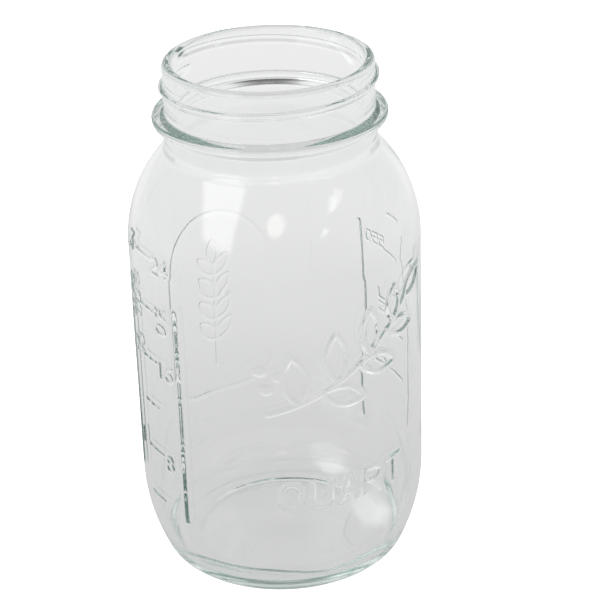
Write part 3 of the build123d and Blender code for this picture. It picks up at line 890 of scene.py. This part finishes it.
def floor():
    """The white sweep, flat near the jar and bent up around it, and the grey floor in the glass."""
    sweep = [(FLOOR_RADIUS, 0.0), (SWEEP_FLAT, 0.0)]
    for i in range(1, SWEEP_STEPS + 1):
        t = radians(90 * i / SWEEP_STEPS)
        sweep.append((SWEEP_FLAT + SWEEP_BEND * sin(t), SWEEP_BEND - SWEEP_BEND * cos(t)))
    sweep.append((SWEEP_FLAT + SWEEP_BEND, SWEEP_TOP))
    sheet("floor", sweep, -FLOOR_DROP, white_paper(), True)
    flat = [(radius, 0.0) for radius in (FLOOR_RADIUS, *GREY_RADII)]
    sheet("floor_in_glass", flat, -GREY_DROP, grey_paper(), False)


def world():
    """The room around the stage: bright, with darker parts that draw the lines in the glass."""
    room = bpy.data.worlds.new("studio")
    bpy.context.scene.world = room
    room.use_nodes = True
    nodes, links = room.node_tree.nodes, room.node_tree.links
    where = nodes.new("ShaderNodeTexCoord")
    last = None
    for direction, inner, outer, grey in ROOM_PATCHES:
        dot = nodes.new("ShaderNodeVectorMath")
        dot.operation = "DOT_PRODUCT"
        dot.inputs[1].default_value = Vector(direction).normalized()
        share = nodes.new("ShaderNodeMapRange")
        share.interpolation_type = "SMOOTHSTEP"
        share.inputs["From Min"].default_value = cos(radians(outer))
        share.inputs["From Max"].default_value = cos(radians(inner))
        mix = nodes.new("ShaderNodeMix")
        mix.inputs[2].default_value = ROOM_GREY
        mix.inputs[3].default_value = grey
        links.new(where.outputs["Generated"], dot.inputs[0])
        links.new(dot.outputs["Value"], share.inputs["Value"])
        links.new(share.outputs["Result"], mix.inputs[0])
        if last:
            links.new(last, mix.inputs[2])
        last = mix.outputs[0]
    background = nodes["Background"]
    links.new(last, background.inputs["Color"])
    background.inputs["Strength"].default_value = 1.0


def toward(azimuth, elevation):
    """A place on the panels' sphere, at an azimuth from -Y towards +X and an elevation."""
    a, e = radians(azimuth), radians(elevation)
    way = Vector((sin(a) * cos(e), -cos(a) * cos(e), sin(e)))
    return Vector(PANEL_CENTRE) + PANEL_DISTANCE * way


def fading_light(name, color, strength):
    """An even light that shows as far as the mesh's fade attribute says."""
    material, nodes, links = new_material(name)
    nodes.remove(nodes["Principled BSDF"])
    share = nodes.new("ShaderNodeAttribute")
    share.attribute_name = "fade"
    clear = nodes.new("ShaderNodeBsdfTransparent")
    shader = nodes.new("ShaderNodeEmission")
    shader.inputs["Color"].default_value = color
    shader.inputs["Strength"].default_value = strength
    mix = nodes.new("ShaderNodeMixShader")
    links.new(share.outputs["Fac"], mix.inputs["Fac"])
    links.new(clear.outputs["BSDF"], mix.inputs[1])
    links.new(shader.outputs["Emission"], mix.inputs[2])
    links.new(mix.outputs["Shader"], nodes["Material Output"].inputs["Surface"])
    return material


def panel(name, edge, centre, fade_out, color, strength):
    """A light whose outline fades out. Its points keep their distance from a centre, if any."""
    middle = sum(edge, Vector()) / len(edge)
    points, shares = [], []
    for reach, share in fade_out:
        for point in edge if reach else edge[:1]:
            place = middle + (point - middle) * reach
            if centre:
                place = centre + (place - centre).normalized() * PANEL_DISTANCE
            points.append(place)
            shares.append(share)
    count, last = len(edge), len(points) - 1
    faces = []
    for ring in range(0, last - count, count):
        for i in range(count):
            j = (i + 1) % count
            faces.append((ring + i, ring + j, ring + count + j, ring + count + i))
    faces += [(last - count + i, last - count + (i + 1) % count, last) for i in range(count)]
    mesh = bpy.data.meshes.new(name)
    mesh.from_pydata(points, [], faces)
    fade = mesh.attributes.new("fade", "FLOAT", "POINT")
    fade.data.foreach_set("value", shares)
    mesh.materials.append(fading_light(name, color, strength))
    obj = added(name, mesh)
    obj.visible_camera = False
    obj.visible_shadow = False
    return obj


def lights():
    """Lights of the room around the jar, and the painted pools of light on the floor, which show
    only as reflections.
    """
    for name, outline, color, strength in ROOM_LIGHTS:
        edge = [toward(azimuth, elevation) for azimuth, elevation in outline]
        panel(name, edge, Vector(PANEL_CENTRE), GLOW_FADE, color, strength)
    # Painted pools of light: glowing patches on the floor, seen only in reflection
    for name, outline in FLOOR_LIGHTS:
        edge = [Vector((x * MM, y * MM, FLOOR_LIGHT_RISE)) for x, y in outline]
        pool = panel(name, edge, None, POOL_FADE, FLOOR_LIGHT_COLOR, FLOOR_LIGHT_STRENGTH)
        pool.visible_transmission = False


def main():
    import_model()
    jar = build_jar()
    jar.data.materials.append(glass())
    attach(jar, "root")
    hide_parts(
        "glass_jar", "neck_thread", "ounce_scale", "millilitre_scale", "front_sprig",
        "capacity_word", "back_frame",
    )
    floor()
    world()
    lights()
    place_camera()
    bpy.context.scene.view_settings.view_transform = "Standard"
    paths = bpy.context.scene.cycles
    paths.max_bounces = MOST_BOUNCES
    paths.glossy_bounces = GLASS_BOUNCES
    paths.transmission_bounces = GLASS_BOUNCES


main()
